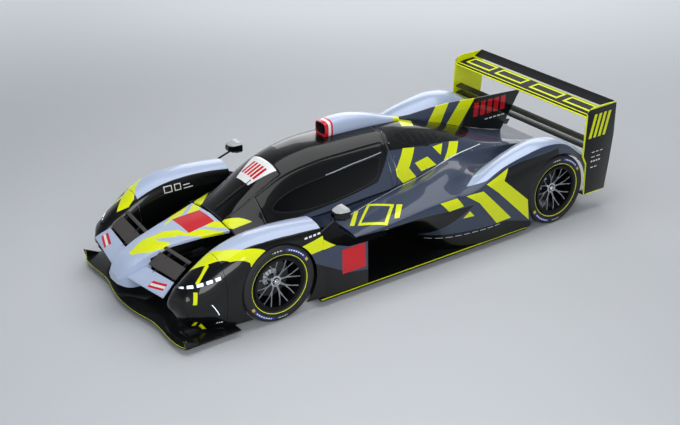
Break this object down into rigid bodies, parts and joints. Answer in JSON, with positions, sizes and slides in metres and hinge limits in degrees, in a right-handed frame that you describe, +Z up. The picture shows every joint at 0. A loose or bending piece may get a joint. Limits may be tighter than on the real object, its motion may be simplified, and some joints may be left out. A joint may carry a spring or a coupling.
{
  "type": "closed sports prototype race car",
  "caption": "Low closed-cockpit prototype racer with open front channels, faired wheels, roof scoop, spine fin and a tall rear wing.",
  "frame": {"origin": "on the ground, at the middle of the car's length and width", "axes": "+Z up, -Y towards the nose, +X towards the car's left side"},
  "size_m": [2, 4.95, 1.268],
  "materials": {
    "pale_blue_paint": "gloss",
    "gloss_black_paint": "gloss",
    "carbon_laminate": "satin",
    "tyre_rubber": "matt",
    "dark_forged_rim": "satin",
    "cast_housing": "satin",
    "tinted_polycarbonate": "gloss",
    "headlamp_lens": "gloss",
    "tail_lamp_lens": "gloss",
    "seat_cover": "matt"
  },
  "bodies": {
    "chassis": {"canopy": "gloss_black_paint", "diffuser": "carbon_laminate", "engine": "cast_housing", "engine_cover": "gloss_black_paint", "floor": "carbon_laminate", "front_fender_left": "pale_blue_paint", "front_fender_right": "pale_blue_paint", "front_suspension_left": "cast_housing", "front_suspension_right": "cast_housing", "front_wing_left": "carbon_laminate", "front_wing_right": "carbon_laminate", "headlamp_left": "headlamp_lens", "headlamp_right": "headlamp_lens", "lamp_pod_left": "gloss_black_paint", "lamp_pod_right": "gloss_black_paint", "mirror_left": "gloss_black_paint", "mirror_right": "gloss_black_paint", "monocoque": "carbon_laminate", "nose": "pale_blue_paint", "rain_lamp": "tail_lamp_lens", "rear_quarter_left": "pale_blue_paint", "rear_quarter_right": "pale_blue_paint", "rear_suspension_left": "cast_housing", "rear_suspension_right": "cast_housing", "rear_wing": "gloss_black_paint", "roof_scoop": "pale_blue_paint", "seat": "seat_cover", "shark_fin": "pale_blue_paint", "splitter": "carbon_laminate", "tail_lamp_left": "tail_lamp_lens", "tail_lamp_right": "tail_lamp_lens", "windscreen": "tinted_polycarbonate"},
    "steer_left": {"upright_front_left": "cast_housing"},
    "wheel_front_left": {"tyre_front_left": "tyre_rubber", "rim_front_left": "dark_forged_rim"},
    "wheel_rear_left": {"tyre_rear_left": "tyre_rubber", "rim_rear_left": "dark_forged_rim"},
    "door_left": {"door_left": "gloss_black_paint", "door_window_left": "tinted_polycarbonate"},
    "steer_right": {"upright_front_right": "cast_housing"},
    "wheel_front_right": {"tyre_front_right": "tyre_rubber", "rim_front_right": "dark_forged_rim"},
    "wheel_rear_right": {"tyre_rear_right": "tyre_rubber", "rim_rear_right": "dark_forged_rim"},
    "door_right": {"door_right": "gloss_black_paint", "door_window_right": "tinted_polycarbonate"},
    "steering_wheel": {"steering_wheel": "gloss_black_paint"}
  },
  "joints": [
    {"name": "steering_left", "type": "hinge", "parent": "chassis", "child": "steer_left", "pos_m": [0.76, -1.4, 0.355], "axis": [0, 0, 1], "range_deg": [-15, 15]},
    {"name": "wheel_front_left_spin", "type": "hinge", "parent": "steer_left", "child": "wheel_front_left", "pos_m": [0.84, -1.4, 0.355], "axis": [1, 0, 0], "continuous": true},
    {"name": "wheel_rear_left_spin", "type": "hinge", "parent": "chassis", "child": "wheel_rear_left", "pos_m": [0.815, 1.75, 0.355], "axis": [1, 0, 0], "continuous": true},
    {"name": "steering_right", "type": "hinge", "parent": "chassis", "child": "steer_right", "pos_m": [-0.76, -1.4, 0.355], "axis": [0, 0, 1], "range_deg": [-15, 15]},
    {"name": "wheel_front_right_spin", "type": "hinge", "parent": "steer_right", "child": "wheel_front_right", "pos_m": [-0.84, -1.4, 0.355], "axis": [1, 0, 0], "continuous": true},
    {"name": "wheel_rear_right_spin", "type": "hinge", "parent": "chassis", "child": "wheel_rear_right", "pos_m": [-0.815, 1.75, 0.355], "axis": [1, 0, 0], "continuous": true},
    {"name": "door_left_swing", "type": "hinge", "parent": "chassis", "child": "door_left", "pos_m": [0.375, -1.1825, 0.7265], "axis": [0.7645, 0, -0.6446], "range_deg": [0, 60]},
    {"name": "door_right_swing", "type": "hinge", "parent": "chassis", "child": "door_right", "pos_m": [-0.375, -1.1825, 0.7265], "axis": [0.7645, 0, 0.6446], "range_deg": [0, 60]},
    {"name": "steering_wheel_turn", "type": "hinge", "parent": "chassis", "child": "steering_wheel", "pos_m": [-0.17, -0.56, 0.56], "axis": [0, 0.9272, 0.3746], "range_deg": [-135, 135]}
  ],
  "couplings": [
    {"joint": "steering_right", "follows": "steering_left", "ratio": 1},
    {"joint": "steering_wheel_turn", "follows": "steering_left", "ratio": 9}
  ]
}
